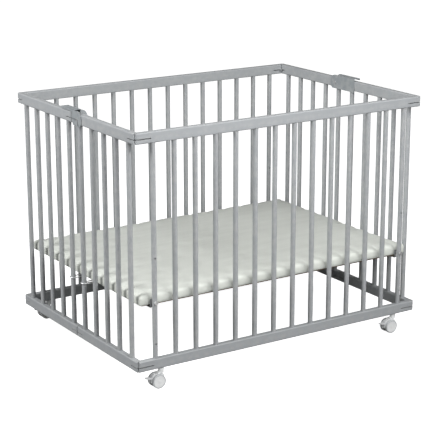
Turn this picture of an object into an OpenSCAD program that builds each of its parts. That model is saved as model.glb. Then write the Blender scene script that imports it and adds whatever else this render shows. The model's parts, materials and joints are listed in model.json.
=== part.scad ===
// Folding wooden playpen: front and back panels, side panels in two halves that fold inwards,
// a padded floor on pins at one of three heights, and four braked twin-wheel casters.
// Origin: on the ground under the middle of the pen. X is the width, Y goes to the back, Z is up.

/* [Overall size] */
// Outer width of the frame
pen_w = 1020; // [850:10:1250]
// Outer depth of the frame
pen_d = 740; // [600:10:900]
// Height of the frame, without casters and latches
frame_h = 695; // [560:5:840]

/* [Rails] */
// Height of a rail
rail_h = 32; // [28:1:44]
// Thickness of a rail
rail_t = 20; // [18:1:26]
// Radius of the long edges
rail_r = 4; // [1:0.5:6]
// Radius of a rail's pointed end in plan
nose_r = 3.5; // [1:0.5:4]

/* [Bars] */
// Diameter of a bar
bar_d = 15; // [10:0.5:16]
// Bars in the front panel and in the back panel
long_bars = 14; // [8:1:18]
// Bars in each half of a side panel
half_bars = 5; // [3:1:7]
// From the outer corner to the first bar of a long panel
long_end = 64; // [56:1:80]
// From the outer corner to the first bar of a side panel
side_end = 49; // [46:1:60]
// How deep a bar sits in a rail
bar_seat = 10; // [6:0.5:11]

/* [Corner hinges] */
// Gap between two mitred ends
mitre_gap = 1.2; // [0.8:0.1:3]
// Height of the saw kerf that takes the hinge plates
kerf_h = 3; // [2.8:0.1:5]
// Middle of the kerf above the underside of its rail
kerf_z = 13.6; // [12.5:0.1:15]
// Length of the kerf in a long rail
kerf_long = 54; // [48:1:55]
// Length of the kerf in a side rail
kerf_side = 38; // [36:1:41]
// How far inside the inner corner the hinge pin stands
pivot_in = 4; // [3.9:0.1:6]
// Diameter of the corner pin
corner_pin_d = 4; // [3:0.5:5]
// Thickness of one hinge leaf
leaf_t = 1.3; // [1:0.1:1.35]

/* [Centre hinges] */
// Gap between the two halves of a side rail
seam_gap = 1; // [0.6:0.1:4]
// Distance between the two pins of a centre link
link_span = 48; // [46:1:50]
// Width of a centre link
link_w = 12; // [9:0.5:14]
// Thickness of a centre link
link_t = 2.4; // [1.5:0.1:2.6]
// Diameter of a centre pin
centre_pin_d = 5; // [3:0.5:5]

/* [Latches] */
// From the seam to the latch rivet
latch_pivot = 41; // [38:1:48]
// How far the latch reaches past the seam
latch_reach = 60; // [40:1:75]
// Radius of the rounded cheek round the rivet
latch_r = 25; // [22:0.5:28]
// Thickness of the latch's sheet metal
latch_t = 1.5; // [1:0.1:2]
// Gap between the latch and the rail it clasps
latch_gap = 0.6; // [0.3:0.1:1]
// Diameter of the latch rivet
rivet_d = 6; // [4:0.5:8]

/* [Floor] */
// Height of the low pin holes above the frame's underside
hole_low = 75; // [60:1:100]
// Height of the middle pin holes above the frame's underside
hole_mid = 199; // [150:1:240]
// Height of the high pin holes above the frame's underside
hole_high = 330; // [290:1:400]
// Which height the floor is at: 0 low, 1 middle, 2 high
floor_at = 1; // [0:1:2]
// Diameter of a floor pin
pin_d = 6; // [5:0.5:7]
// Thickness of the padded floor
pad_t = 30; // [20:1:45]
// Gap between the padded floor and what stands furthest in at the sides
pad_gap_x = 0.5; // [0.4:0.1:10]
// Gap between the padded floor and the pins at the front and back
pad_gap_y = 1.6; // [0.5:0.1:10]
// Corner radius of the padded floor
pad_r = 26; // [10:1:60]
// Thickness of the board under the pad
board_t = 4; // [3:0.5:8]
// How far the board's edge stays inside the pad's edge
board_inset = 14; // [8:1:30]
// Wire thickness of the loops that tie the floor to the side bars
wire_d = 3.5; // [2.5:0.1:4]
// How far a wire loop reaches under the floor
wire_reach = 42; // [20:1:46]

/* [Casters] */
// Height of the frame's underside above the ground
caster_h = 58; // [56:1:70]
// Wheel diameter
wheel_d = 42; // [36:1:44]
// Width of one wheel
wheel_w = 10; // [7:0.5:12]
// Space between the two wheels of a caster
wheel_space = 14.4; // [13:0.2:18]
// Distance from the stem to the axle
trail = 14; // [10:0.5:18]
// Diameter of the steel stem
stem_d = 8; // [6:0.5:10]
// From the frame's outer end to a caster stem
caster_in = 82; // [79:0.5:100]

/* [Hidden] */
$fn = 48;
fit = 0.05;                          // radial clearance of a running fit
hw = pen_w / 2;
hd = pen_d / 2;
base_z = caster_h;                   // underside of the bottom rails
top_z = base_z + frame_h - rail_h;   // underside of the top rails
nose_run = nose_r / tan(22.5);       // from a mitred tip to where its rounding starts
nose_steps = 6;
mitre_shift = mitre_gap / 2 * sqrt(2);
half_len = hd - seam_gap / 2;        // a side rail's half, from the outer corner to the seam
pin_u = hd - link_span / 2;          // centre pin, from the outer corner along the rail
end_r = half_len - pin_u;            // the rail's end is round about its pin
pivot_uv = rail_t + pivot_in;        // corner pin, from the outer corner both ways
eye_wall = 2.8;
eye_r = corner_pin_d / 2 + eye_wall;
leaf_w = 10;
leaf_pin_d = 3;
leaf_pin_up = 6;                     // the pin that holds a leaf reaches this far above and below the kerf's middle
leaf_pin_long = kerf_long - 8;
leaf_pin_side = kerf_side - 7;
leaf_play = 0.05;                    // between the two leaves on a corner pin
end_play = 0.2;                      // at each end of a pin in its bore
kerf_play = 0.2;                     // height a corner pin's barrel leaves free in the kerf
corner_head_t = 0.9;
corner_head_d = corner_pin_d + 3;
centre_pin_short = 0.4;              // a centre pin ends this far inside the rail
kerf_past_link = 2;                  // the seam's kerf reaches this far past the link
socket_d = bar_d + 2 * fit;
bar_z = base_z + rail_h - bar_seat;
bar_len = frame_h - 2 * rail_h + 2 * bar_seat;
long_pitch = (pen_w - 2 * long_end) / (long_bars - 1);
side_pitch = (pen_d - 2 * side_end) / (2 * half_bars - 1);
long_x = [for (i = [0:long_bars - 1]) -hw + long_end + i * long_pitch];
side_u = [for (i = [0:half_bars - 1]) side_end + i * side_pitch];
panel_y = hd - rail_t / 2;           // middle plane of a long panel
side_x = hw - rail_t / 2;            // middle plane of a side panel
latch_z = top_z + rail_h / 2;        // rivet height
latch_top = latch_z + latch_r;
latch_low = 4;                       // the cheeks hang this far below the rail
cheek_low = latch_z - rail_h / 2 - latch_low;
cheek_out = rail_t / 2 + latch_gap;  // from a side panel's middle plane to a cheek
latch_web = 23;                      // the web starts this far from the rivet
lug_end = 9;                         // the outer cheek stops this far short of the seam
lug_slant = 8;
lip_h = 6;                           // the web's outer edge is turned down this far
lip_lap = 2;                         // and starts this far before the lug's end
latch_lift = 95;                     // angle of a lifted latch
link_play = 0.8;                     // slots in the latch's outer cheek, above and below the centre link
window_ends = 3;                     // and past its ends
rivet_head_t = 1.6;
rivet_head_d = rivet_d + 4;
hole_heights = [hole_low, hole_mid, hole_high];
pin_z = base_z + hole_heights[floor_at];
slot_play = 0.2;
hook_t = 1.5;
hook_w = 18;
hook_gap = 0.4;                      // from the rails' inner faces to a floor hook, so that it lifts out past them
hook_y = hd - rail_t - hook_gap;
pin_past = 1.1;                      // how far a floor pin reaches past its hook
hook_rise = 8;
pad_sink = 12;                       // the pad's underside is this far below the pins' middle
pad_z = pin_z - pad_sink;
pad_x = side_x - cheek_out - latch_t - rivet_head_t - pad_gap_x;
pad_y = hook_y - hook_t - pin_past - pad_gap_y;
hook_flange = 26;
pin_head_d = 11;
pin_head_t = 4;
head_gap = 0.1;                      // from a bar to a pin's head
wire_gap = 0.5;
loop_r = bar_d / 2 + wire_d / 2 + wire_gap;
loop_drop = 1.5;                     // from a hook's flange to a wire loop
loop_z = pad_z - board_t - hook_t - wire_d / 2 - loop_drop;
loop_u = side_u[half_bars - 1];
wheel_r = wheel_d / 2;
axle_d = 4;
axle_z = wheel_r;
axle_short = 1.5;                    // an axle ends this far inside each wheel's face
rim_w = 3.2;                         // a wheel's raised rim
rim_up = 0.8;                        // how far it stands above the disc
disc_in = 0.4;
hub_r = 3;
hood_r = wheel_r + 1;
hood_play = 0.7;                     // between the hood and a wheel
hood_w = wheel_space - 2 * hood_play;
hood_skirt = 4;                      // the hood reaches this far below the axle
hood_flat = 6;                       // the body round the stem ends this far below the hood's top
boss_d = stem_d + 9;
boss_low = axle_z + wheel_r + 1;
boss_gap = 1;                        // under the rail
stem_low = axle_z + hood_r - 8;
lever_slot = 4.8;
lever_slot_r = 6.2;
slot_from = 100;                     // the slot starts at this angle from straight ahead
lever_web = 4;
lever_hub_r = 5.2;
lever_in = hood_r + 0.8;             // inner radius of the lever's curved plate
lever_t = 2.6;
lever_w = 11;
lever_from = 118;
lever_to = 162;
tab = [[-36, 10.5], [-37, 12.5], [-35.5, 13.5]];
stem_in = 22;
caster_x = hw - caster_in;
wood = [0.62, 0.64, 0.66];
bar_wood = [0.58, 0.60, 0.62];
steel = [0.72, 0.73, 0.74];
latch_paint = [0.60, 0.62, 0.64];
pad_cloth = [0.78, 0.80, 0.76];
board_wood = [0.70, 0.62, 0.50];
caster_white = [0.90, 0.91, 0.91];
caster_grey = [0.55, 0.57, 0.58];
lever_grey = [0.75, 0.76, 0.77];

// ---- Placing: a panel is drawn at the front, a side half at the front left ----

module at_back() { mirror([0, 1, 0]) children(); }
// u runs from the outer corner along the rail, v from its outer face inwards
module on_front() { translate([-hw, -hd, 0]) children(); }
module on_left_front() { translate([-hw, -hd, 0]) mirror([1, -1, 0]) children(); }
module at_left_rear() { mirror([0, 1, 0]) children(); }
module at_right_front() { mirror([1, 0, 0]) children(); }
module at_right_rear() { mirror([1, 0, 0]) mirror([0, 1, 0]) children(); }
module half_turn() { rotate([0, 0, 180]) children(); }

// ---- Rails ----

module rounded_section(w, h, r) {
    translate([r, 0]) square([w - 2 * r, h]);
    translate([0, r]) square([w, h - 2 * r]);
    for (x = [r, w - r]) for (y = [r, h - r]) translate([x, y]) circle(r);
}

// A rail's stock: rounded along its four long edges
module stock(len) {
    rotate([90, 0, 90]) linear_extrude(len) rounded_section(rail_t, rail_h, rail_r);
}

// Points of a mitred end, its tip eased in steps, from the outer face round to the inner face
mitre_tip = mitre_shift + nose_run;
mitre_points = concat(
    [for (i = [0:nose_steps]) let (turn = 135 * i / nose_steps) [mitre_tip - nose_r * sin(turn), nose_r - nose_r * cos(turn)]],
    [[mitre_shift + rail_t, rail_t]]);

module long_plan() {
    n = len(mitre_points);
    polygon(concat(mitre_points, [for (i = [1:n]) [pen_w - mitre_points[n - i][0], mitre_points[n - i][1]]]));
}

module half_plan() { polygon(concat(mitre_points, [[hd, rail_t], [hd, 0]])); }

// What is cut away to round a half's end about its pin
module end_cutter() {
    difference() {
        translate([pin_u, -1, -1]) cube([hd - pin_u + 1, rail_t + 2, rail_h + 2]);
        translate([pin_u, rail_t / 2, -2]) cylinder(r = end_r, h = rail_h + 4);
    }
}

module kerf(from, to) {
    translate([from, -1, kerf_z - kerf_h / 2]) cube([to - from, rail_t + 2, kerf_h]);
}

module upright_bore(u, d, z, depth) {
    translate([u, rail_t / 2, z]) cylinder(d = d, h = depth);
}

// z of a bar's socket: a top rail is drilled from below, a bottom rail from above
module sockets(us, top) {
    for (u = us) upright_bore(u, socket_d, top ? -1 : rail_h - bar_seat, bar_seat + 1);
}

module leaf_bore(u) { upright_bore(u, leaf_pin_d + 2 * fit, kerf_z - leaf_pin_up, 2 * leaf_pin_up); }

module long_rail(top) {
    difference() {
        intersection() {
            linear_extrude(rail_h) long_plan();
            stock(pen_w);
        }
        kerf(-1, kerf_long);
        kerf(pen_w - kerf_long, pen_w + 1);
        sockets([for (x = long_x) x + hw], top);
        for (u = [leaf_pin_long, pen_w - leaf_pin_long]) leaf_bore(u);
        if (!top) for (u = [caster_in, pen_w - caster_in]) upright_bore(u, stem_d + 2 * fit, -1, stem_in + 2);
    }
}

module half_rail(top, latched = false) {
    difference() {
        intersection() {
            linear_extrude(rail_h) half_plan();
            stock(hd);
        }
        end_cutter();
        kerf(-1, kerf_side);
        kerf(pin_u - link_w / 2 - kerf_past_link, hd + 1);
        sockets(side_u, top);
        leaf_bore(leaf_pin_side);
        upright_bore(pin_u, centre_pin_d, -1, rail_h + 2);
        // crosswise bore for the latch rivet
        if (latched) translate([hd - latch_pivot, -1, rail_h / 2])
            rotate([-90, 0, 0]) cylinder(d = rivet_d + 2 * fit, h = rail_t + 2);
    }
}

module long_top() { color(wood) on_front() translate([0, 0, top_z]) long_rail(true); }
module long_bottom() { color(wood) on_front() translate([0, 0, base_z]) long_rail(false); }
module half_top(latched) { color(wood) on_left_front() translate([0, 0, top_z]) half_rail(true, latched); }
module half_bottom() { color(wood) on_left_front() translate([0, 0, base_z]) half_rail(false); }

// ---- Bars ----

module bar() { cylinder(d = bar_d, h = bar_len); }

// The first and last bars of a long panel have three holes for the floor pins
module holed_bar() {
    difference() {
        bar();
        for (h = hole_heights)
            translate([0, -bar_d, base_z + h - bar_z]) rotate([-90, 0, 0]) cylinder(d = pin_d + 2 * fit, h = 2 * bar_d);
    }
}

module long_bars_set() {
    color(bar_wood) for (i = [0:long_bars - 1]) translate([long_x[i], -panel_y, bar_z]) {
        if (i == 0 || i == long_bars - 1) holed_bar();
        else bar();
    }
}

module half_bars_set() {
    color(bar_wood) on_left_front() for (u = side_u) translate([u, rail_t / 2, bar_z]) bar();
}

// ---- Corner hinges: two leaves, one over the other in the kerfs, on a pin inside the corner ----

module leaf(len, pin_at) {
    near = (rail_t - leaf_w) / 2;
    far = (rail_t + leaf_w) / 2;
    difference() {
        linear_extrude(leaf_t) {
            translate([pivot_uv + 4, near]) square([len - pivot_uv - 6, leaf_w]);
            polygon([[pivot_uv - eye_r + 0.2, pivot_uv], [pivot_uv + 1, near + 4], [pivot_uv + 5, near],
                     [pivot_uv + 5, far], [pivot_uv + eye_r - 0.2, pivot_uv]]);
            translate([pivot_uv, pivot_uv]) circle(eye_r);
        }
        translate([pivot_uv, pivot_uv, -1]) cylinder(d = corner_pin_d + 2 * fit, h = leaf_t + 2);
        translate([pin_at, rail_t / 2, -1]) cylinder(d = leaf_pin_d, h = leaf_t + 2);
    }
}

module leaf_pin(at) { upright_bore(at, leaf_pin_d, kerf_z - leaf_pin_up + end_play, 2 * (leaf_pin_up - end_play)); }

// A panel's leaf lies in the upper half of the kerf
module upper_leaf() {
    translate([0, 0, kerf_z + leaf_play]) leaf(kerf_long, leaf_pin_long);
    leaf_pin(leaf_pin_long);
}

module corner_pin() {
    stack = kerf_h - kerf_play;
    translate([pivot_uv, pivot_uv, kerf_z - stack / 2]) cylinder(d = corner_pin_d, h = stack);
    for (z = [kerf_z - stack / 2 - corner_head_t, kerf_z + stack / 2])
        translate([pivot_uv, pivot_uv, z]) cylinder(d = corner_head_d, h = corner_head_t);
}

module panel_hinges() {
    color(steel) for (z = [base_z, top_z]) for (side = [0, 1]) mirror([side, 0, 0])
        on_front() translate([0, 0, z]) { upper_leaf(); corner_pin(); }
}

// A side half's leaf lies in the lower half of the kerf
module half_leaves() {
    color(steel) on_left_front() for (z = [base_z, top_z]) translate([0, 0, z]) {
        translate([0, 0, kerf_z - leaf_t - leaf_play]) leaf(kerf_side, leaf_pin_side);
        leaf_pin(leaf_pin_side);
    }
}

// ---- Centre hinges: a link with a pin at each end, in the kerfs at the seam ----

module half_pins() {
    color(steel) on_left_front() for (z = [base_z, top_z]) translate([0, 0, z])
        upright_bore(pin_u, centre_pin_d, centre_pin_short, rail_h - 2 * centre_pin_short);
}

module centre_links() {
    color(steel) for (z = [base_z, top_z]) translate([-side_x, 0, z + kerf_z - link_t / 2]) difference() {
        union() {
            for (y = [-1, 1]) translate([0, y * link_span / 2, 0]) cylinder(d = link_w, h = link_t);
            translate([-link_w / 2, -link_span / 2, 0]) cube([link_w, link_span, link_t]);
        }
        for (y = [-1, 1]) translate([0, y * link_span / 2, -1]) cylinder(d = centre_pin_d + 2 * fit, h = link_t + 2);
    }
}

// ---- Latch: a folded plate over the top of a side panel's seam, pivoted on its front half ----

module cheek(outline_t) {
    rotate([90, 0, 90]) linear_extrude(outline_t) difference() {
        children();
        translate([-latch_pivot, latch_z]) circle(d = rivet_d + 2 * fit);
    }
}

// round end of a cheek, flat along the bottom
module lug_disc() {
    intersection() {
        translate([-latch_pivot, latch_z]) circle(latch_r);
        translate([-latch_pivot - latch_r, cheek_low]) square([2 * latch_r, 2 * latch_r]);
    }
}

// the room that the centre link needs in the outer cheek
module link_slot() {
    slot_h = link_t + 2 * link_play;
    slot_y = link_span / 2 + link_w / 2 + window_ends;
    translate([-side_x - cheek_out - latch_t - 1, -slot_y, top_z + kerf_z - slot_h / 2]) cube([latch_t + 2, 2 * slot_y, slot_h]);
}

module left_latch_shape() {
    // outer cheek: a lug round the rivet
    difference() {
        translate([-side_x - cheek_out - latch_t, 0, 0]) cheek(latch_t) {
            lug_disc();
            polygon([[-latch_pivot, cheek_low], [-lug_end - lug_slant / 2, cheek_low], [-lug_end, latch_z], [-lug_end, latch_top], [-latch_pivot, latch_top]]);
        }
        // slots that the centre link swings through, with the latch down and with it lifted
        for (lift = [0, latch_lift]) translate([0, -latch_pivot, latch_z]) rotate([-lift, 0, 0]) translate([0, latch_pivot, -latch_z]) link_slot();
    }
    // inner cheek: reaches past the seam
    translate([-side_x + cheek_out, 0, 0]) cheek(latch_t) {
        lug_disc();
        translate([-latch_pivot, cheek_low]) square([latch_pivot + latch_reach, latch_top - cheek_low]);
    }
    // web over the rail
    translate([-side_x - cheek_out - latch_t, -latch_pivot + latch_web, latch_top - latch_t])
        cube([2 * (cheek_out + latch_t), latch_pivot + latch_reach - latch_web, latch_t]);
    // the web's outer edge is turned down a little past the seam, above the rail
    translate([-side_x - cheek_out - latch_t, -lug_end - lip_lap, latch_top - lip_h])
        cube([latch_t, lug_end + lip_lap + latch_reach, lip_h]);
}

module left_rivet_shape() {
    half_t = cheek_out + latch_t;
    translate([-side_x, -latch_pivot, latch_z]) rotate([0, 90, 0]) {
        translate([0, 0, -half_t]) cylinder(d = rivet_d, h = 2 * half_t);
        for (s = [-1, 1]) translate([0, 0, s * (half_t + rivet_head_t / 2) - rivet_head_t / 2])
            cylinder(d = rivet_head_d, h = rivet_head_t);
    }
}

// ---- Floor ----

module rounded_plate(x, y, r, t) {
    linear_extrude(t) {
        square([2 * x, 2 * (y - r)], center = true);
        square([2 * (x - r), 2 * y], center = true);
        for (sx = [-1, 1]) for (sy = [-1, 1]) translate([sx * (x - r), sy * (y - r)]) circle(r);
    }
}

module floor_pin() {
    tip_y = hook_y - hook_t - pin_past;
    head_y = panel_y + bar_d / 2 + head_gap;
    translate([long_x[0], -tip_y, pin_z]) rotate([90, 0, 0]) cylinder(d = pin_d, h = head_y + pin_head_t / 2 - tip_y);
    translate([long_x[0], -head_y, pin_z]) rotate([90, 0, 0]) cylinder(d = pin_head_d, h = pin_head_t);
}

module panel_floor_pins() { color(steel) for (s = [0, 1]) mirror([s, 0, 0]) floor_pin(); }

// A hook drops over the pin from above: its slot is open below
module floor_hook() {
    low = pad_z - board_t - hook_t;
    slot = pin_d / 2 + slot_play;
    difference() {
        union() {
            translate([long_x[0] - hook_w / 2, -hook_y, low]) cube([hook_w, hook_t, pin_z + hook_rise - low]);
            translate([long_x[0] - hook_w / 2, -hook_y, low]) cube([hook_w, hook_flange, hook_t]);
        }
        translate([long_x[0] - slot, -hook_y - 1, low - 1]) cube([2 * slot, hook_t + 3, pin_z - low + 1]);
        translate([long_x[0], -hook_y - 1, pin_z]) rotate([-90, 0, 0]) cylinder(r = slot, h = hook_t + 3);
    }
}

// ---- Wire loops round the bars next to the seam ----

module wire_loop_shape() {
    on_left_front() translate([loop_u, rail_t / 2, loop_z]) {
        rotate([0, 0, 180]) rotate_extrude(angle = 180) translate([loop_r, 0]) circle(d = wire_d);
        for (s = [-1, 1]) translate([s * loop_r, 0, 0]) rotate([-90, 0, 0]) cylinder(d = wire_d, h = wire_reach);
        translate([0, wire_reach, 0]) rotate_extrude(angle = 180) translate([loop_r, 0]) circle(d = wire_d);
    }
}

// ---- Caster: the stem stands at the origin, the wheels trail towards -X ----

module across(w) { rotate([90, 0, 0]) translate([0, 0, -w / 2]) linear_extrude(w) children(); }

module caster_steel() {
    color(steel) {
        translate([0, 0, stem_low]) cylinder(d = stem_d, h = base_z + stem_in - stem_low);
        translate([-trail, 0, axle_z]) rotate([90, 0, 0])
            cylinder(d = axle_d, h = wheel_space + 2 * (wheel_w - axle_short), center = true);
    }
}

module caster_hood() {
    color(caster_white) difference() {
        union() {
            translate([-trail, 0, axle_z]) across(hood_w) intersection() {
                circle(hood_r);
                translate([-hood_r, -hood_skirt]) square([2 * hood_r, hood_r + hood_skirt]);
            }
            translate([-trail, -hood_w / 2, axle_z - hood_skirt])
                cube([trail + stem_d / 2 + 3, hood_w, hood_r + hood_skirt - hood_flat]);
            translate([0, 0, boss_low]) cylinder(d = boss_d, h = base_z - boss_gap - boss_low);
            translate([-trail, -hood_w / 2, boss_low - 4]) cube([trail, hood_w, 8]);
        }
        translate([0, 0, stem_low]) cylinder(d = stem_d, h = base_z);
        translate([-trail, 0, axle_z]) rotate([90, 0, 0]) cylinder(d = axle_d, h = wheel_space + 2 * wheel_w, center = true);
        // slot for the lever's web, from near straight up round to the back
        translate([-trail, 0, axle_z]) across(lever_slot) {
            circle(lever_slot_r);
            rotate(slot_from) square(hood_r + 6);
        }
    }
}

module wheel_profile() {
    bore_r = axle_d / 2 + fit;
    polygon([[bore_r, 0], [wheel_r - 1, 0], [wheel_r, 1], [wheel_r, wheel_w - 2], [wheel_r - 2, wheel_w],
             [wheel_r - rim_w, wheel_w], [wheel_r - rim_w - rim_up, wheel_w - rim_up],
             [hub_r, wheel_w - disc_in], [bore_r, wheel_w - disc_in]]);
}

module caster_wheels() {
    color(caster_grey) translate([-trail, 0, axle_z]) for (s = [-1, 1])
        rotate([s * 90, 0, 0]) translate([0, 0, wheel_space / 2]) rotate_extrude() wheel_profile();
}

// The point at a radius and an angle round the axle
function round_axle(r, angle) = r * [cos(angle), sin(angle)];

module caster_lever() {
    mid_r = lever_in + lever_t / 2;
    color(lever_grey) translate([-trail, 0, axle_z]) {
        difference() {
            across(lever_web) {
                circle(lever_hub_r);
                polygon([[0, 0], round_axle(mid_r, lever_from + 4), round_axle(mid_r, 140), round_axle(mid_r, lever_to - 6)]);
            }
            rotate([90, 0, 0]) cylinder(d = axle_d + 2 * fit, h = 2 * lever_w, center = true);
        }
        across(lever_w) difference() {
            intersection() {
                circle(lever_in + lever_t);
                polygon([[0, 0], round_axle(60, lever_from), round_axle(60, 140), round_axle(60, lever_to)]);
            }
            circle(lever_in);
        }
        across(lever_w) polygon(concat([round_axle(mid_r, lever_to - 11), round_axle(mid_r, lever_to - 2)], tab));
    }
}

module at_fl() { translate([-caster_x, -panel_y, 0]) children(); }
module at_fr() { translate([caster_x, -panel_y, 0]) children(); }
module at_rl() { translate([-caster_x, panel_y, 0]) children(); }
module at_rr() { translate([caster_x, panel_y, 0]) children(); }

// ---- The named pieces ----

module front_top_rail() { long_top(); }
module front_bottom_rail() { long_bottom(); }
module front_bars() { long_bars_set(); }
module front_corner_hinges() { panel_hinges(); }
module front_floor_pins() { panel_floor_pins(); }
module back_top_rail() { at_back() long_top(); }
module back_bottom_rail() { at_back() long_bottom(); }
module back_bars() { at_back() long_bars_set(); }
module back_corner_hinges() { at_back() panel_hinges(); }
module back_floor_pins() { at_back() panel_floor_pins(); }

module left_front_top_rail() { half_top(true); }
module left_front_bottom_rail() { half_bottom(); }
module left_front_bars() { half_bars_set(); }
module left_front_leaves() { half_leaves(); }
module left_front_pins() { half_pins(); }
module left_front_wire_loop() { color(steel) wire_loop_shape(); }
module left_rear_top_rail() { at_left_rear() half_top(false); }
module left_rear_bottom_rail() { at_left_rear() half_bottom(); }
module left_rear_bars() { at_left_rear() half_bars_set(); }
module left_rear_leaves() { at_left_rear() half_leaves(); }
module left_rear_pins() { at_left_rear() half_pins(); }
module left_rear_wire_loop() { color(steel) at_left_rear() wire_loop_shape(); }
module right_front_top_rail() { at_right_front() half_top(false); }
module right_front_bottom_rail() { at_right_front() half_bottom(); }
module right_front_bars() { at_right_front() half_bars_set(); }
module right_front_leaves() { at_right_front() half_leaves(); }
module right_front_pins() { at_right_front() half_pins(); }
module right_front_wire_loop() { color(steel) at_right_front() wire_loop_shape(); }
module right_rear_top_rail() { at_right_rear() half_top(true); }
module right_rear_bottom_rail() { at_right_rear() half_bottom(); }
module right_rear_bars() { at_right_rear() half_bars_set(); }
module right_rear_leaves() { at_right_rear() half_leaves(); }
module right_rear_pins() { at_right_rear() half_pins(); }
module right_rear_wire_loop() { color(steel) at_right_rear() wire_loop_shape(); }

module left_centre_links() { centre_links(); }
module right_centre_links() { mirror([1, 0, 0]) centre_links(); }
module left_latch() { color(latch_paint) left_latch_shape(); }
module left_latch_rivet() { color(steel) left_rivet_shape(); }
module right_latch() { color(latch_paint) half_turn() left_latch_shape(); }
module right_latch_rivet() { color(steel) half_turn() left_rivet_shape(); }

module floor_pad() { color(pad_cloth) translate([0, 0, pad_z]) rounded_plate(pad_x, pad_y, pad_r, pad_t); }
module floor_board() {
    color(board_wood) translate([0, 0, pad_z - board_t])
        rounded_plate(pad_x - board_inset, pad_y - board_inset, max(pad_r - board_inset, 4), board_t);
}
module floor_hooks() { color(steel) for (a = [0, 1]) for (b = [0, 1]) mirror([a, 0, 0]) mirror([0, b, 0]) floor_hook(); }

module fl_caster_steel() { at_fl() caster_steel(); }
module fl_caster_hood() { at_fl() caster_hood(); }
module fl_caster_wheels() { at_fl() caster_wheels(); }
module fl_caster_lever() { at_fl() caster_lever(); }
module fr_caster_steel() { at_fr() caster_steel(); }
module fr_caster_hood() { at_fr() caster_hood(); }
module fr_caster_wheels() { at_fr() caster_wheels(); }
module fr_caster_lever() { at_fr() caster_lever(); }
module rl_caster_steel() { at_rl() caster_steel(); }
module rl_caster_hood() { at_rl() caster_hood(); }
module rl_caster_wheels() { at_rl() caster_wheels(); }
module rl_caster_lever() { at_rl() caster_lever(); }
module rr_caster_steel() { at_rr() caster_steel(); }
module rr_caster_hood() { at_rr() caster_hood(); }
module rr_caster_wheels() { at_rr() caster_wheels(); }
module rr_caster_lever() { at_rr() caster_lever(); }

back_top_rail();
back_bottom_rail();
back_bars();
back_corner_hinges();
back_floor_pins();
front_top_rail();
front_bottom_rail();
front_bars();
front_corner_hinges();
front_floor_pins();
left_rear_top_rail();
left_rear_bottom_rail();
left_rear_bars();
left_rear_leaves();
left_rear_pins();
left_rear_wire_loop();
left_front_top_rail();
left_front_bottom_rail();
left_front_bars();
left_front_leaves();
left_front_pins();
left_front_wire_loop();
right_rear_top_rail();
right_rear_bottom_rail();
right_rear_bars();
right_rear_leaves();
right_rear_pins();
right_rear_wire_loop();
right_front_top_rail();
right_front_bottom_rail();
right_front_bars();
right_front_leaves();
right_front_pins();
right_front_wire_loop();
left_centre_links();
right_centre_links();
left_latch();
left_latch_rivet();
right_latch();
right_latch_rivet();
floor_pad();
floor_board();
floor_hooks();
fl_caster_steel();
fl_caster_hood();
fl_caster_wheels();
fl_caster_lever();
fr_caster_steel();
fr_caster_hood();
fr_caster_wheels();
fr_caster_lever();
rl_caster_steel();
rl_caster_hood();
rl_caster_wheels();
rl_caster_lever();
rr_caster_steel();
rr_caster_hood();
rr_caster_wheels();
rr_caster_lever();
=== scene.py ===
# Looks of the folding playpen: painted wood, padded floor, latches, casters, light and camera.
# Metres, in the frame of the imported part: X along the long panels, Y from front to back, Z up.
import json
import math

import bmesh
import bpy
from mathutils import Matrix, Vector, noise


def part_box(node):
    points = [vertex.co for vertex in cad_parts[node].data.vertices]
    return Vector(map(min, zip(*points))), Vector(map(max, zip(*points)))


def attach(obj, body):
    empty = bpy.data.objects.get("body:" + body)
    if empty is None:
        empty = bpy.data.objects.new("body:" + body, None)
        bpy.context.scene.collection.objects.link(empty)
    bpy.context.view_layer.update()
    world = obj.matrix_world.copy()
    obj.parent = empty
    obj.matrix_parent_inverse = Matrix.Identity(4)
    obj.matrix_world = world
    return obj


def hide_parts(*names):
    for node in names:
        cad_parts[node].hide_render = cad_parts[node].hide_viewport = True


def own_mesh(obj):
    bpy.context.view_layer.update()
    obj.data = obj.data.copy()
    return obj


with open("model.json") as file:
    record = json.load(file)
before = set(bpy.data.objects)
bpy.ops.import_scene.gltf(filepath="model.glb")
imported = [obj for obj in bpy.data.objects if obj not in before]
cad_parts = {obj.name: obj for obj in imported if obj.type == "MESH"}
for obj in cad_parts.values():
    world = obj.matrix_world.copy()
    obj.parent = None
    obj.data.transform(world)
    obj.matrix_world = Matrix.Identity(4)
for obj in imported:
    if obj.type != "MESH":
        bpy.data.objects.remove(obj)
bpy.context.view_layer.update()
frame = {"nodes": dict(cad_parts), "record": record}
nodes = frame["nodes"]


# ---- Materials: node helpers ----

def clear_selection():
    if bpy.context.object and bpy.context.object.mode != "OBJECT":
        bpy.ops.object.mode_set(mode="OBJECT")
    bpy.ops.object.select_all(action="DESELECT")


def new_group(name, inputs, outputs):
    group = bpy.data.node_groups.new(name, "ShaderNodeTree")
    for label, kind, value in inputs:
        socket = group.interface.new_socket(label, in_out="INPUT", socket_type=kind)
        if value is not None:
            socket.default_value = value
    for label, kind in outputs:
        group.interface.new_socket(label, in_out="OUTPUT", socket_type=kind)
    return group, group.nodes.new("NodeGroupInput"), group.nodes.new("NodeGroupOutput")


def add(tree, kind, links=None, **values):
    """A node with its properties, its unlinked inputs and its links set."""
    node = tree.nodes.new(kind)
    for key, value in values.items():
        if key.startswith("in_"):
            label = key[3:]
            node.inputs[int(label) if label.isdigit() else label.replace("_", " ")].default_value = value
        else:
            setattr(node, key, value)
    for key, source in (links or {}).items():
        tree.links.new(source, node.inputs[key])
    return node


def maths(tree, operation, a, b=None, clamp=False):
    node = tree.nodes.new("ShaderNodeMath")
    node.operation = operation
    node.use_clamp = clamp
    for socket, value in zip(node.inputs, (a, b)):
        if value is None:
            continue
        if isinstance(value, (int, float)):
            socket.default_value = value
        else:
            tree.links.new(value, socket)
    return node.outputs[0]


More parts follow.
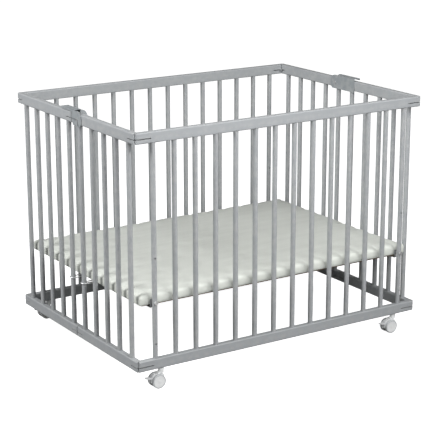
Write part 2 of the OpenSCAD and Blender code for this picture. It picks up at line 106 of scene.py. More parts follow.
def spread(tree, value, low, high, to_low=0.0, to_high=1.0):
    node = tree.nodes.new("ShaderNodeMapRange")
    tree.links.new(value, node.inputs["Value"])
    for key, number in (("From Min", low), ("From Max", high), ("To Min", to_low), ("To Max", to_high)):
        node.inputs[key].default_value = number
    return node.outputs["Result"]


def blend_colour(tree, factor, a, b):
    node = tree.nodes.new("ShaderNodeMix")
    node.data_type = "RGBA"
    for index, value in ((0, factor), (6, a), (7, b)):
        if isinstance(value, (int, float, tuple)):
            node.inputs[index].default_value = value
        else:
            tree.links.new(value, node.inputs[index])
    return node.outputs[2]


def stretched(tree, vector, scale):
    return add(tree, "ShaderNodeMapping", {0: vector}, in_Scale=scale).outputs[0]


def make_wood_paint():
    """Thin satin paint on wood: cloudy tone, raised grain along one direction, specks."""
    group, given, out = new_group(
        "wood_paint",
        [("Position", "NodeSocketVector", None), ("Grain Stretch", "NodeSocketVector", (1.0, 1.0, 1.0)),
         ("Cloud Size", "NodeSocketFloat", 30.0), ("Grain", "NodeSocketFloat", 0.5)],
        [("Tone", "NodeSocketFloat"), ("Roughness Shift", "NodeSocketFloat"), ("Height", "NodeSocketFloat"),
         ("Specks", "NodeSocketFloat")])
    position = given.outputs["Position"]
    clouds = add(group, "ShaderNodeTexNoise", {"Vector": position, "Scale": given.outputs["Cloud Size"]},
                 in_Detail=4.0, in_Roughness=0.6)
    along = add(group, "ShaderNodeVectorMath", {0: position, 1: given.outputs["Grain Stretch"]},
                operation="MULTIPLY").outputs[0]
    grain = add(group, "ShaderNodeTexNoise", {"Vector": along}, in_Scale=900.0, in_Detail=3.0,
                in_Roughness=0.55)
    pores = add(group, "ShaderNodeTexNoise", {"Vector": along}, in_Scale=2600.0, in_Detail=2.0)
    brush = add(group, "ShaderNodeTexNoise", {"Vector": position}, in_Scale=420.0, in_Detail=2.0)
    specks = add(group, "ShaderNodeTexVoronoi", {"Vector": position}, in_Scale=160.0)
    spot = maths(group, "MULTIPLY", spread(group, specks.outputs["Distance"], 0.10, 0.02),
                 spread(group, clouds.outputs[0], 0.50, 0.66))
    tone = maths(group, "ADD",
                 maths(group, "MULTIPLY", maths(group, "SUBTRACT", clouds.outputs[0], 0.5), 0.9),
                 maths(group, "MULTIPLY", maths(group, "SUBTRACT", grain.outputs[0], 0.5),
                       given.outputs["Grain"]))
    group.links.new(maths(group, "ADD", tone, 0.5, True), out.inputs["Tone"])
    group.links.new(maths(group, "SUBTRACT", brush.outputs[0], 0.5), out.inputs["Roughness Shift"])
    group.links.new(maths(group, "ADD", maths(group, "MULTIPLY", grain.outputs[0], given.outputs["Grain"]),
                          maths(group, "ADD", maths(group, "MULTIPLY", pores.outputs[0], 0.25),
                                maths(group, "MULTIPLY", brush.outputs[0], 0.5))),
                    out.inputs["Height"])
    group.links.new(maths(group, "MULTIPLY", spot, 1.0, True), out.inputs["Specks"])
    return group


def make_wear():
    """Where an edge is rubbed: 1 on sharp edges, broken up by noise."""
    group, given, out = new_group(
        "edge_wear",
        [("Position", "NodeSocketVector", None), ("Low", "NodeSocketFloat", 0.52),
         ("High", "NodeSocketFloat", 0.60), ("Patches", "NodeSocketFloat", 60.0)],
        [("Mask", "NodeSocketFloat")])
    edge = add(group, "ShaderNodeNewGeometry").outputs["Pointiness"]
    patches = add(group, "ShaderNodeTexNoise",
                  {"Vector": given.outputs["Position"], "Scale": given.outputs["Patches"]}, in_Detail=5.0)
    node = group.nodes.new("ShaderNodeMapRange")
    for key, source in (("Value", edge), ("From Min", given.outputs["Low"]),
                        ("From Max", given.outputs["High"])):
        group.links.new(source, node.inputs[key])
    group.links.new(maths(group, "MULTIPLY", node.outputs["Result"],
                          spread(group, patches.outputs[0], 0.40, 0.62), True), out.inputs["Mask"])
    return group


def make_dust():
    """Dust and handling marks that lie on upward faces."""
    group, given, out = new_group(
        "dust",
        [("Position", "NodeSocketVector", None), ("Size", "NodeSocketFloat", 18.0)],
        [("Mask", "NodeSocketFloat")])
    up = add(group, "ShaderNodeSeparateXYZ",
             {0: add(group, "ShaderNodeNewGeometry").outputs["Normal"]}).outputs[2]
    patches = add(group, "ShaderNodeTexNoise",
                  {"Vector": given.outputs["Position"], "Scale": given.outputs["Size"]}, in_Detail=6.0,
                  in_Roughness=0.65)
    group.links.new(maths(group, "MULTIPLY", spread(group, up, 0.2, 0.9),
                          spread(group, patches.outputs[0], 0.35, 0.75), True), out.inputs["Mask"])
    return group


wood_paint = make_wood_paint()
edge_wear = make_wear()
dust_layer = make_dust()


def new_material(name, **shader_values):
    material = bpy.data.materials.new(name)
    material.use_nodes = True
    tree = material.node_tree
    shader = tree.nodes["Principled BSDF"]
    for key, value in shader_values.items():
        shader.inputs[key.replace("_", " ")].default_value = value
    position = tree.nodes.new("ShaderNodeTexCoord").outputs["Object"]
    return material, tree, shader, position


def use_group(tree, group, links=None, **values):
    node = tree.nodes.new("ShaderNodeGroup")
    node.node_tree = group
    for key, value in values.items():
        node.inputs[key.replace("_", " ")].default_value = value
    for key, source in (links or {}).items():
        tree.links.new(source, node.inputs[key])
    return node


def bump(tree, shader, height, strength, distance):
    node = add(tree, "ShaderNodeBump", {"Height": height}, in_Strength=strength, in_Distance=distance)
    tree.links.new(node.outputs[0], shader.inputs["Normal"])


def painted_wood(name, dark, light, stretch, grain=0.5, roughness=0.46):
    material, tree, shader, position = new_material(name, IOR=1.47)
    paint = use_group(tree, wood_paint, {"Position": position}, Grain_Stretch=stretch, Cloud_Size=26.0,
                      Grain=grain)
    wear = use_group(tree, edge_wear, {"Position": position}, Low=0.53, High=0.62)
    dust = use_group(tree, dust_layer, {"Position": position})
    colour = blend_colour(tree, paint.outputs["Tone"], dark, light)
    colour = blend_colour(tree, maths(tree, "MULTIPLY", paint.outputs["Specks"], 0.35), colour,
                          tuple(c * 0.72 for c in dark[:3]) + (1.0,))
    colour = blend_colour(tree, maths(tree, "MULTIPLY", dust.outputs["Mask"], 0.12), colour,
                          (0.52, 0.51, 0.49, 1.0))
    colour = blend_colour(tree, maths(tree, "MULTIPLY", wear.outputs["Mask"], 0.22), colour,
                          (0.62, 0.61, 0.58, 1.0))
    tree.links.new(colour, shader.inputs["Base Color"])
    rough = maths(tree, "ADD", maths(tree, "MULTIPLY", paint.outputs["Roughness Shift"], 0.16), roughness)
    tree.links.new(maths(tree, "ADD", rough, maths(tree, "MULTIPLY", dust.outputs["Mask"], 0.12), True),
                   shader.inputs["Roughness"])
    bump(tree, shader, paint.outputs["Height"], 0.22, 0.0004)
    return material


def metal(name, dark, light, roughness, scratches=0.5):
    material, tree, shader, position = new_material(name, Metallic=1.0)
    clouds = add(tree, "ShaderNodeTexNoise", {"Vector": position}, in_Scale=120.0, in_Detail=5.0,
                 in_Roughness=0.7)
    lines = add(tree, "ShaderNodeTexNoise", {"Vector": stretched(tree, position, (1.0, 1.0, 14.0))},
                in_Scale=260.0, in_Detail=3.0)
    wear = use_group(tree, edge_wear, {"Position": position}, Low=0.52, High=0.58)
    colour = blend_colour(tree, clouds.outputs[0], dark, light)
    colour = blend_colour(tree, maths(tree, "MULTIPLY", wear.outputs["Mask"], 0.4), colour,
                          tuple(min(1.0, c * 1.25) for c in light[:3]) + (1.0,))
    tree.links.new(colour, shader.inputs["Base Color"])
    tree.links.new(maths(tree, "ADD", maths(tree, "MULTIPLY", lines.outputs[0], 0.22 * scratches),
                         roughness, True), shader.inputs["Roughness"])
    bump(tree, shader, lines.outputs[0], 0.15 * scratches, 0.0002)
    return material


def moulded(name, dark, light, roughness, grain_size=900.0):
    """Injection-moulded nylon: fine spark texture, slight cloudiness, darker towards the bottom."""
    material, tree, shader, position = new_material(name, IOR=1.52)
    clouds = add(tree, "ShaderNodeTexNoise", {"Vector": position}, in_Scale=70.0, in_Detail=3.0)
    spark = add(tree, "ShaderNodeTexNoise", {"Vector": position}, in_Scale=grain_size, in_Detail=2.0)
    # darker towards the bottom: the colour turns grey-brown over the lowest 12 mm, next to the floor
    low = spread(tree, add(tree, "ShaderNodeSeparateXYZ", {0: position}).outputs[2], 0.012, 0.0)
    colour = blend_colour(tree, clouds.outputs[0], dark, light)
    colour = blend_colour(tree, maths(tree, "MULTIPLY", low, 0.25), colour, (0.30, 0.29, 0.27, 1.0))
    tree.links.new(colour, shader.inputs["Base Color"])
    tree.links.new(maths(tree, "ADD",
                         maths(tree, "MULTIPLY", maths(tree, "SUBTRACT", spark.outputs[0], 0.5), 0.2),
                         roughness, True), shader.inputs["Roughness"])
    bump(tree, shader, spark.outputs[0], 0.12, 0.0002)
    return material


GREY_DARK = (0.355, 0.371, 0.385, 1.0)
GREY_LIGHT = (0.398, 0.415, 0.429, 1.0)
ALONG_X = (0.035, 1.0, 1.0)
ALONG_Y = (1.0, 0.035, 1.0)
ALONG_Z = (1.0, 1.0, 0.035)
paint_long_rail = painted_wood("painted_rail_long", GREY_DARK, GREY_LIGHT, ALONG_X)
paint_side_rail = painted_wood("painted_rail_side", GREY_DARK, GREY_LIGHT, ALONG_Y)
paint_bar = painted_wood("painted_bar", GREY_DARK, GREY_LIGHT, ALONG_Z, 0.35)
paint_latch = painted_wood("painted_latch", (0.265, 0.29, 0.305, 1.0), (0.315, 0.34, 0.358, 1.0),
                           (1.0, 1.0, 1.0), 0.05, 0.38)
hinge_steel = metal("hinge_steel", (0.30, 0.31, 0.32, 1.0), (0.46, 0.47, 0.48, 1.0), 0.42)
bright_steel = metal("bright_steel", (0.86, 0.87, 0.88, 1.0), (0.95, 0.96, 0.96, 1.0), 0.42)


def pad_cover():
    """Coated cotton: a fine weave under a soft film, with faint streaks across the width."""
    material, tree, shader, position = new_material("pad_cover", Sheen_Weight=0.25, Sheen_Roughness=0.5,
                                                    IOR=1.45)
    streaks = add(tree, "ShaderNodeTexNoise", {"Vector": stretched(tree, position, (1.6, 26.0, 6.0))},
                  in_Scale=1.6, in_Detail=4.0, in_Roughness=0.55)
    clouds = add(tree, "ShaderNodeTexNoise", {"Vector": position}, in_Scale=5.0, in_Detail=4.0)
    warp = add(tree, "ShaderNodeTexWave", {"Vector": position}, in_Scale=190.0, in_Distortion=0.6,
               in_Detail=1.0, bands_direction="X")
    weft = add(tree, "ShaderNodeTexWave", {"Vector": position}, in_Scale=190.0, in_Distortion=0.6,
               in_Detail=1.0, bands_direction="Y")
    rise = add(tree, "ShaderNodeTexWave", {"Vector": position}, in_Scale=190.0, in_Distortion=0.6,
               in_Detail=1.0, bands_direction="Z")
    weave = maths(tree, "ADD", maths(tree, "MULTIPLY", warp.outputs[1], weft.outputs[1]),
                  maths(tree, "MULTIPLY", rise.outputs[1], 0.4))
    tone = maths(tree, "ADD", maths(tree, "MULTIPLY", streaks.outputs[0], 0.65),
                 maths(tree, "MULTIPLY", clouds.outputs[0], 0.35))
    colour = blend_colour(tree, spread(tree, tone, 0.35, 0.65), (0.690, 0.715, 0.660, 1.0),
                          (0.755, 0.780, 0.725, 1.0))
    colour = blend_colour(tree, maths(tree, "MULTIPLY", weave, 0.10), colour, (0.60, 0.625, 0.57, 1.0))
    tree.links.new(colour, shader.inputs["Base Color"])
    tree.links.new(spread(tree, clouds.outputs[0], 0.3, 0.7, 0.50, 0.62), shader.inputs["Roughness"])
    height = maths(tree, "ADD", maths(tree, "MULTIPLY", weave, 0.08), streaks.outputs[0])
    bump(tree, shader, height, 0.35, 0.003)
    return material


def hardboard():
    material, tree, shader, position = new_material("hardboard", IOR=1.45)
    fibre = add(tree, "ShaderNodeTexNoise", {"Vector": position}, in_Scale=700.0, in_Detail=4.0,
                in_Roughness=0.7)
    clouds = add(tree, "ShaderNodeTexNoise", {"Vector": position}, in_Scale=12.0, in_Detail=4.0)
    colour = blend_colour(tree, fibre.outputs[0], (0.16, 0.10, 0.055, 1.0), (0.30, 0.20, 0.12, 1.0))
    colour = blend_colour(tree, spread(tree, clouds.outputs[0], 0.4, 0.7, 0.0, 0.3), colour,
                          (0.36, 0.27, 0.18, 1.0))
    tree.links.new(colour, shader.inputs["Base Color"])
    tree.links.new(spread(tree, fibre.outputs[0], 0.3, 0.7, 0.6, 0.8), shader.inputs["Roughness"])
    bump(tree, shader, fibre.outputs[0], 0.3, 0.0003)
    return material


pad_cloth = pad_cover()
board_wood = hardboard()
caster_white = moulded("caster_plastic", (0.84, 0.85, 0.85, 1.0), (0.93, 0.94, 0.94, 1.0), 0.3)
wheel_grey = moulded("wheel_plastic", (0.86, 0.87, 0.88, 1.0), (0.93, 0.94, 0.95, 1.0), 0.4)
tyre_grey = moulded("tyre_grey", (0.58, 0.60, 0.61, 1.0), (0.66, 0.68, 0.69, 1.0), 0.5)
lever_grey = moulded("lever_plastic", (0.68, 0.69, 0.70, 1.0), (0.76, 0.77, 0.78, 1.0), 0.38)

SLOT_MATERIAL = {
    "painted_latch": paint_latch, "hinge_steel": hinge_steel, "bright_steel": bright_steel,
                 "hardboard": board_wood,
    "caster_plastic": caster_white, "wheel_plastic": wheel_grey, "lever_plastic": lever_grey,
                 "pad_cover": pad_cloth,
    "painted_bar": paint_bar,
}
node_slot = {s["node"]: s["material_slot"] for s in frame["record"]["subparts"]}
for name, thing in nodes.items():
    slot = node_slot[name]
    if slot == "painted_rail":
        material = paint_long_rail if name.startswith(("front", "back")) else paint_side_rail
    else:
        material = SLOT_MATERIAL[slot]
    for place in thing.material_slots:
        place.material = material


# ---- Mattress: a foam pad in a sewn cover, pressed against the bars ----

pad_low, pad_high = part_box("floor_pad")
BAR_R = 0.0075
COVER_EASE = 0.0015      # how far the cover stands past the pad's own size
PAD_CORNER = 0.030
PAD_EDGE = 0.007
EVEN_FACE = 0.006
CLOTH_STEPS = 20
MOST_SWELL = 0.005
BAR_CLEAR = 0.0012
BAR_SPREAD = 0.034       # from a bar to where the foam stands out fully
EDGE_DEEP = 0.16         # how far in from an edge the bars still shape the foam
BACK_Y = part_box("back_bars")[0].y + BAR_R          # middle plane of the back bars
SIDE_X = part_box("right_front_bars")[1].x - BAR_R   # middle plane of the right bars


def bar_places(node, axis):
    """Middles of a node's bars along X (0) or Y (1)."""
    values = sorted(v.co[axis] for v in nodes[node].data.vertices)
    groups = [[values[0]]]
    for value in values[1:]:
        if value - groups[-1][-1] > 0.02:
            groups.append([])
        groups[-1].append(value)
    return [(g[0] + g[-1]) / 2 for g in groups]


def finish_piece(piece, body, slot, material, *replaced):
    piece.data.materials.clear()
    piece.data.materials.append(material)
    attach(piece, body)
    if replaced:
        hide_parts(*replaced)
    return piece


def apply_modifiers(piece):
    clear_selection()
    piece.select_set(True)
    bpy.context.view_layer.objects.active = piece
    for modifier in list(piece.modifiers):
        bpy.ops.object.modifier_apply(modifier=modifier.name)


def apply_place(piece):
    clear_selection()
    piece.select_set(True)
    bpy.context.view_layer.objects.active = piece
    bpy.ops.object.transform_apply(location=True, rotation=True, scale=True)


def make_mattress():
    half_x = pad_high.x + COVER_EASE
    half_y = pad_high.y + COVER_EASE
    thick = pad_high.z - pad_low.z
    middle_z = (pad_low.z + pad_high.z) / 2
    clear_selection()
    bpy.ops.mesh.primitive_cube_add(size=1.0, location=(0, 0, middle_z))
    pad = bpy.context.object
    pad.name = "mattress"
    pad.scale = (2 * half_x, 2 * half_y, thick - 0.001)
    apply_place(pad)
    bpy.ops.object.mode_set(mode="EDIT")
    mesh = bmesh.from_edit_mesh(pad.data)
    for edge in mesh.edges:
        a, b = (v.co for v in edge.verts)
        edge.select_set(abs(a.z - b.z) > 0.01)
    bmesh.update_edit_mesh(pad.data)
    bpy.ops.mesh.bevel(offset=PAD_CORNER, offset_type="OFFSET", segments=8, profile=0.5)
    mesh = bmesh.from_edit_mesh(pad.data)
    for edge in mesh.edges:
        edge.select_set(len(edge.link_faces) == 2
                        and abs(edge.link_faces[0].normal.z - edge.link_faces[1].normal.z) > 0.5
                        and edge.verts[0].co.z > middle_z)
    bmesh.update_edit_mesh(pad.data)
    bpy.ops.mesh.bevel(offset=PAD_EDGE, offset_type="OFFSET", segments=4, profile=0.5)
    bpy.ops.object.mode_set(mode="OBJECT")
    remesh = pad.modifiers.new("even_faces", "REMESH")
    remesh.mode = "VOXEL"
    remesh.voxel_size = EVEN_FACE
    apply_modifiers(pad)
    rest = [v.co.copy() for v in pad.data.vertices]
    cloth = pad.modifiers.new("cover", "CLOTH")
    cloth.settings.quality = 5
    cloth.settings.mass = 0.2
    cloth.settings.use_pressure = True
    cloth.settings.uniform_pressure_force = 4.0
    cloth.settings.effector_weights.gravity = 0.0
    cloth.settings.tension_stiffness = 12
    cloth.settings.bending_stiffness = 0.5
    cloth.collision_settings.use_self_collision = False
    cloth.point_cache.frame_start = 1
    cloth.point_cache.frame_end = CLOTH_STEPS
    for step in range(1, CLOTH_STEPS + 1):
        bpy.context.scene.frame_set(step)
    shaped = pad.evaluated_get(bpy.context.evaluated_depsgraph_get())
    swollen = [v.co.copy() for v in shaped.data.vertices]
    pad.modifiers.remove(cloth)
    bpy.context.scene.frame_set(1)
    for vertex, before, after in zip(pad.data.vertices, rest, swollen):
        move = after - before
        if move.length > MOST_SWELL:
            move *= MOST_SWELL / move.length
        vertex.co = before + move
    # the bars press into the long edges and the sides; the foam bulges between them
    long_bars = bar_places("front_bars", 0)
    side_bars = sorted(bar_places("right_front_bars", 1) + bar_places("right_rear_bars", 1))
    for vertex in pad.data.vertices:
        x, y, z = vertex.co
        top = min(1.0, max(0.0, (z - pad_low.z) / thick))
        for along, across, half, bars, face in ((0, 1, half_y, long_bars, BACK_Y),
                                                (1, 0, half_x, side_bars, SIDE_X)):
            u = vertex.co[along]
            v = vertex.co[across]
            edge = half - abs(v)
            if edge > EDGE_DEEP:
                continue
            near = min(abs(u - b) for b in bars)
            ends = abs(u) > max(bars)
            gap = min(1.0, near / BAR_SPREAD) if not ends else 1.0
            # at the side wall: out between the bars, in at a bar
            wall = math.exp(-max(0.0, edge) / 0.010)
            push = 0.0008 * (1 - (1 - gap) ** 2) - 0.0004
            dent = max(0.0, 0.0090 - near) * 0.15
            move = wall * (push - dent)
            target = abs(v) + move
            if near < BAR_R + 0.004:
                # stay clear of the round bar itself
                reach = math.sqrt(max(0.0, (BAR_R + BAR_CLEAR) ** 2 - near ** 2))
                target = min(target, face - reach)
            vertex.co[across] = math.copysign(target, v)
            # the crease behind each bar, running inwards and dying out
            crease = math.exp(-((near / 0.0060) ** 2)) * math.exp(-((edge / 0.040) ** 2)) * 0.0034
            roll = math.exp(-((near - BAR_SPREAD) / 0.022) ** 2) * math.exp(-((edge / 0.030) ** 2)) * 0.0008
            vertex.co.z += top * top * (roll - crease)
        # the top is never quite flat
        drift = noise.noise(Vector((x * 3.1, y * 9.0, 0.3))) * 0.0011
        drift += noise.noise(Vector((x * 9.0, y * 30.0, 1.7))) * 0.0006
        vertex.co.z += top * top * drift
    smooth = pad.modifiers.new("finer", "SUBSURF")
    smooth.levels = 1
    smooth.render_levels = 1
    apply_modifiers(pad)
    bpy.ops.object.shade_smooth()
    return pad


mattress = make_mattress()
finish_piece(mattress, "floor", "pad_cover", pad_cloth, "floor_pad")
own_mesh(mattress)


# ---- Board under the mattress, and the four strap hooks that hang it on the pins ----

def make_board():
    low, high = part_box("floor_board")
    clear_selection()
    bpy.ops.mesh.primitive_cube_add(size=1.0, location=(low + high) / 2)
    board = bpy.context.object
    board.name = "board"
    board.scale = high - low
    apply_place(board)
    bpy.ops.object.mode_set(mode="EDIT")
    mesh = bmesh.from_edit_mesh(board.data)
    for edge in mesh.edges:
        a, b = (v.co for v in edge.verts)
        edge.select_set(abs(a.z - b.z) > 0.001)
    bmesh.update_edit_mesh(board.data)
    bpy.ops.mesh.bevel(offset=0.014, offset_type="OFFSET", segments=6, profile=0.5)
    bpy.ops.mesh.select_all(action="SELECT")
    bpy.ops.object.mode_set(mode="OBJECT")
    soften = board.modifiers.new("soft_edge", "BEVEL")
    soften.width = 0.0006
    soften.segments = 2
    soften.limit_method = "ANGLE"
    apply_modifiers(board)
    bpy.ops.object.shade_smooth_by_angle(angle=math.radians(35))
    return board


HOOK_WIDE, HOOK_THICK, HOOK_FLANGE = 0.018, 0.0015, 0.026
HOOK_RISE = 0.008        # from the pin's middle to the top of a hook
HOOK_SLOT = 0.0033       # half the slot's width


def make_hook(number, side_x, side_y):
    low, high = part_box("floor_hooks")
    middle_x = high.x - HOOK_WIDE / 2
    clear_selection()
    bpy.ops.mesh.primitive_cube_add(size=1.0,
                                    location=(middle_x, high.y - HOOK_THICK / 2, low.z + HOOK_THICK / 2))
    hook = bpy.context.object
    hook.name = "strap_hook_%d" % number
    hook.scale = (HOOK_WIDE, HOOK_THICK, HOOK_THICK)
    apply_place(hook)
    bpy.ops.object.mode_set(mode="EDIT")
    flange = (Vector((0, -1, 0)), HOOK_FLANGE - HOOK_THICK)
    upright = (Vector((0, 0, 1)), high.z - low.z - HOOK_THICK)
    for direction, length in (flange, upright):
        mesh = bmesh.from_edit_mesh(hook.data)
        bpy.ops.mesh.select_mode(type="FACE")
        for face in mesh.faces:
            face.select_set(face.normal.dot(direction) > 0.9
                            and face.calc_center_median().y > high.y - 2 * HOOK_THICK)
        mesh.select_flush_mode()
        bmesh.update_edit_mesh(hook.data)
        bpy.ops.mesh.extrude_region_move(TRANSFORM_OT_translate={"value": direction * length})
    bpy.ops.object.mode_set(mode="OBJECT")
    pin_z = high.z - HOOK_RISE
    bpy.ops.mesh.primitive_cylinder_add(vertices=32, radius=HOOK_SLOT, depth=0.02,
                                        location=(middle_x, high.y, pin_z), rotation=(math.pi / 2, 0, 0))
    round_end = bpy.context.object
    apply_place(round_end)
    clear_selection()
    bpy.ops.mesh.primitive_cube_add(size=1.0, location=(middle_x, high.y, (pin_z + low.z - 0.01) / 2))
    mouth = bpy.context.object
    mouth.scale = (2 * HOOK_SLOT, 0.008, pin_z - low.z + 0.01)
    apply_place(mouth)
    for cutter in (round_end, mouth):
        cut = hook.modifiers.new("slot", "BOOLEAN")
        cut.operation = "DIFFERENCE"
        cut.solver = "EXACT"
        cut.object = cutter
    soften = hook.modifiers.new("soft_edge", "BEVEL")
    soften.width = 0.0003
    soften.segments = 2
    soften.limit_method = "ANGLE"
    apply_modifiers(hook)
    bpy.data.objects.remove(round_end)
    bpy.data.objects.remove(mouth)
    for vertex in hook.data.vertices:
        vertex.co.x *= side_x
        vertex.co.y *= side_y
    if side_x * side_y < 0:
        hook.data.flip_normals()
    bpy.ops.object.shade_smooth_by_angle(angle=math.radians(35))
    return hook


floor_underside = [finish_piece(make_board(), "floor", "hardboard", board_wood, "floor_board")]
for number, (side_x, side_y) in enumerate(((1, 1), (1, -1), (-1, 1), (-1, -1)), 1):
    hook = make_hook(number, side_x, side_y)
    floor_underside.append(finish_piece(hook, "floor", "hinge_steel", hinge_steel, "floor_hooks"))
for piece in floor_underside:
    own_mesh(piece)


# ---- Casters: a white disc in a grey tyre on each side, a ribbed hood between them ----

def select_faces(piece, wanted):
    """In edit mode: only the faces for which wanted(middle, normal) is true are selected."""
    mesh = bmesh.from_edit_mesh(piece.data)
    bpy.ops.mesh.select_mode(type="FACE")
    for face in mesh.faces:
        face.select_set(bool(wanted(face.calc_center_median(), face.normal)))
    mesh.select_flush_mode()
    bmesh.update_edit_mesh(piece.data)


def select_edges(piece, wanted):
    mesh = bmesh.from_edit_mesh(piece.data)
    bpy.ops.mesh.select_mode(type="EDGE")
    for edge in mesh.edges:
        a, b = (v.co for v in edge.verts)
        edge.select_set(bool(wanted(a, b)))
    mesh.select_flush_mode()
    bmesh.update_edit_mesh(piece.data)


def edit(piece):
    clear_selection()
    piece.select_set(True)
    bpy.context.view_layer.objects.active = piece
    bpy.ops.object.mode_set(mode="EDIT")
    bpy.ops.mesh.select_all(action="DESELECT")


def finish_edit(piece, angle=35):
    bpy.ops.object.mode_set(mode="OBJECT")
    bpy.ops.object.shade_smooth_by_angle(angle=math.radians(angle))


WHEEL_R = 0.0210
WHEEL_W = 0.0100
DISC_R = 0.0176


def make_tyre():
    """A grey tread ring with rounded shoulders, its axle along Y, its outer face towards +Y."""
    clear_selection()
    bpy.ops.mesh.primitive_cylinder_add(vertices=96, radius=WHEEL_R, depth=WHEEL_W,
                                        rotation=(math.radians(90), 0, 0))
    tyre = bpy.context.object
    apply_place(tyre)
    edit(tyre)
    select_faces(tyre, lambda c, n: abs(n.y) > 0.9)
    bpy.ops.mesh.inset(thickness=WHEEL_R - DISC_R)
    select_faces(tyre, lambda c, n: abs(n.y) > 0.9 and math.hypot(c.x, c.z) < 0.001)
    bpy.ops.mesh.bridge_edge_loops()
    select_edges(tyre, lambda a, b: abs(math.hypot(a.x, a.z) - WHEEL_R) < 1e-5
                 and abs(math.hypot(b.x, b.z) - WHEEL_R) < 1e-5 and abs(a.y - b.y) < 1e-6)
    bpy.ops.mesh.bevel(offset=0.0016, offset_type="OFFSET", segments=4, profile=0.6)
    select_edges(tyre, lambda a, b: abs(math.hypot(a.x, a.z) - DISC_R) < 1e-5
                 and abs(math.hypot(b.x, b.z) - DISC_R) < 1e-5 and abs(a.y - b.y) < 1e-6)
    bpy.ops.mesh.bevel(offset=0.0005, offset_type="OFFSET", segments=2, profile=0.5)
    bpy.ops.mesh.select_all(action="SELECT")
    bpy.ops.mesh.normals_make_consistent(inside=False)
    finish_edit(tyre)
    return tyre


def make_disc():
    """The wheel's white body: a shallow dish with a small hub boss outside, hollow inside."""
    clear_selection()
    bpy.ops.mesh.primitive_cylinder_add(vertices=96, radius=DISC_R + 0.0002, depth=WHEEL_W - 0.0012,
                                        rotation=(math.radians(90), 0, 0))
    disc = bpy.context.object
    apply_place(disc)
    edit(disc)
    outer = WHEEL_W / 2 - 0.0006
    for inset, push in ((0.0012, 0.0), (0.0022, -0.0007), (0.0086, 0.0005), (0.0016, 0.0),
                        (0.0006, 0.0005)):
        select_faces(disc, lambda c, n: c.y > outer - 0.002 and n.y > 0.9 and math.hypot(c.x, c.z) < 0.0005)
        bpy.ops.mesh.inset(thickness=inset)
        bpy.ops.transform.translate(value=(0, push, 0))
    # the inner face is hollowed between rim and hub
    select_faces(disc, lambda c, n: n.y < -0.9)
    bpy.ops.mesh.inset(thickness=0.0016)
    bpy.ops.transform.translate(value=(0, 0.0040, 0))
    bpy.ops.mesh.inset(thickness=0.0110)
    bpy.ops.transform.translate(value=(0, -0.0040, 0))
    finish_edit(disc, 25)
    return disc


def placed_copy(piece, name, place, flip=False):
    copy = piece.copy()
    copy.data = piece.data.copy()
    copy.name = name
    bpy.context.scene.collection.objects.link(copy)
    if flip:
        copy.rotation_euler = (0, 0, math.pi)
    copy.location = place
    apply_place(copy)
    return copy


def make_hood_rib(radius):
    """One thin raised rib round the back and top of the hood, across +Y, its middle on the axle."""
    clear_selection()
    bpy.ops.mesh.primitive_cube_add(size=1.0, location=(radius, 0, 0))
    rib = bpy.context.object
    rib.scale = (0.0012, 0.0010, 0.0002)
    apply_place(rib)
    edit(rib)
    select_faces(rib, lambda c, n: n.z > 0.9)
    bpy.ops.mesh.spin(steps=28, angle=-math.radians(92), center=(0, 0, 0), axis=(0, 1, 0))
    bpy.ops.mesh.select_all(action="SELECT")
    bpy.ops.mesh.remove_doubles(threshold=0.00001)
    bpy.ops.mesh.normals_make_consistent(inside=False)
    finish_edit(rib, 30)
    return rib


CASTERS = {"fl": "front_left", "fr": "front_right", "rl": "rear_left", "rr": "rear_right"}
tyre = make_tyre()
disc = make_disc()
rib = make_hood_rib(0.0222)
for short, corner in CASTERS.items():
    low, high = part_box(short + "_caster_wheels")
    axle = (low + high) / 2
    reach = (high.y - low.y) / 2 - WHEEL_W / 2
    for side, sign in (("outer", -1), ("inner", 1)):
        middle = Vector((axle.x, axle.y + sign * reach, axle.z))
        ring = placed_copy(tyre, f"{short}_tyre_{side}", middle, sign < 0)
        finish_piece(ring, corner + "_wheels", "wheel_plastic", tyre_grey)
        body = placed_copy(disc, f"{short}_wheel_disc_{side}", middle, sign < 0)
        finish_piece(body, corner + "_wheels", "wheel_plastic", caster_white)
        if sign < 0:
            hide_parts(short + "_caster_wheels")
    for number, offset in enumerate((-0.0054, -0.0036, 0.0036, 0.0054)):
        ridge = placed_copy(rib, f"{short}_hood_rib_{number}", Vector((axle.x, axle.y + offset, axle.z)))
        finish_piece(ridge, corner + "_caster", "caster_plastic", caster_white)
for pattern_piece in (tyre, disc, rib):
    bpy.data.objects.remove(pattern_piece)


# ---- Floor, light and camera ----

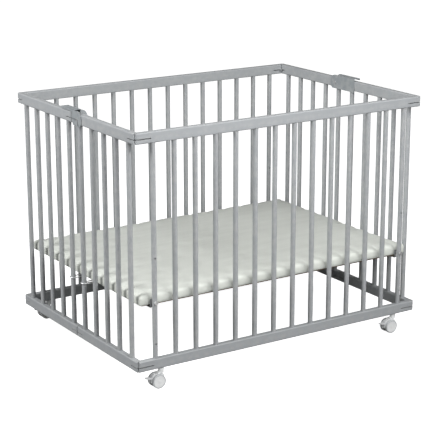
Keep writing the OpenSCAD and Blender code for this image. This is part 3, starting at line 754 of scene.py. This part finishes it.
def make_stage():
    clear_selection()
    bpy.ops.mesh.primitive_plane_add(size=80, location=(0, 0, -0.0004))
    floor = bpy.context.object
    floor.name = "floor_sheet"
    material, tree, shader, position = new_material("studio_floor", Roughness=0.9)
    soft = add(tree, "ShaderNodeTexNoise", {"Vector": position}, in_Scale=2.0, in_Detail=3.0)
    tree.links.new(blend_colour(tree, soft.outputs[0], (0.86, 0.86, 0.86, 1.0), (0.90, 0.90, 0.90, 1.0)),
                   shader.inputs["Base Color"])
    # the sheet looks white, but throws only a little light back up
    sight = tree.nodes.new("ShaderNodeLightPath")
    dull = add(tree, "ShaderNodeBsdfDiffuse", in_Color=(0.30, 0.30, 0.30, 1.0))
    glow = add(tree, "ShaderNodeEmission", in_Color=(1.0, 1.0, 1.0, 1.0), in_Strength=0.95)
    white = add(tree, "ShaderNodeAddShader", {0: shader.outputs[0], 1: glow.outputs[0]})
    seen = add(tree, "ShaderNodeMixShader",
               {0: sight.outputs["Is Camera Ray"], 1: dull.outputs[0], 2: white.outputs[0]})
    tree.links.new(seen.outputs[0], tree.nodes["Material Output"].inputs[0])
    floor.data.materials.append(material)


def soft_light(name, place, aim, size, power):
    data = bpy.data.lights.new(name, "AREA")
    data.shape = "RECTANGLE"
    data.size, data.size_y = size
    data.energy = power
    lamp = bpy.data.objects.new(name, data)
    bpy.context.scene.collection.objects.link(lamp)
    lamp.location = place
    lamp.rotation_euler = (Vector(aim) - Vector(place)).to_track_quat("-Z", "Y").to_euler()
    return lamp


make_stage()
soft_light("front_right_box", (0.9, -2.0, 2.3), (0, 0, 0.5), (1.0, 1.0), 32)
soft_light("left_box", (-2.3, 0.3, 2.0), (0, 0, 0.5), (1.2, 1.0), 57)
soft_light("camera_box", (-2.4, -3.9, 2.0), (0, 0, 0.5), (1.0, 1.0), 10)
soft_light("front_box", (-0.3, -1.9, 1.5), (0, 0, 0.5), (1.0, 1.0), 25)

world = bpy.data.worlds.new("studio")
bpy.context.scene.world = world
world.use_nodes = True
sky = world.node_tree.nodes["Background"]
sky.inputs[0].default_value = (1.0, 1.0, 1.0, 1.0)
# seen directly the surroundings are white, but they light the piece only faintly
direct = world.node_tree.nodes.new("ShaderNodeLightPath")
level = world.node_tree.nodes.new("ShaderNodeMapRange")
level.inputs["To Min"].default_value = 0.10
level.inputs["To Max"].default_value = 1.3
world.node_tree.links.new(direct.outputs["Is Camera Ray"], level.inputs["Value"])
world.node_tree.links.new(level.outputs["Result"], sky.inputs[1])
bpy.context.scene.view_settings.view_transform = "Standard"

eye = bpy.data.cameras.new("eye")
eye.sensor_width = 36.0
eye.lens = 120.09
camera = bpy.data.objects.new("eye", eye)
bpy.context.scene.collection.objects.link(camera)
camera.location = (-2.4097, -3.7311, 1.5815)
camera.rotation_euler = (math.radians(90 - 15.424), math.radians(0.056), math.radians(-32.855))
bpy.context.scene.camera = camera
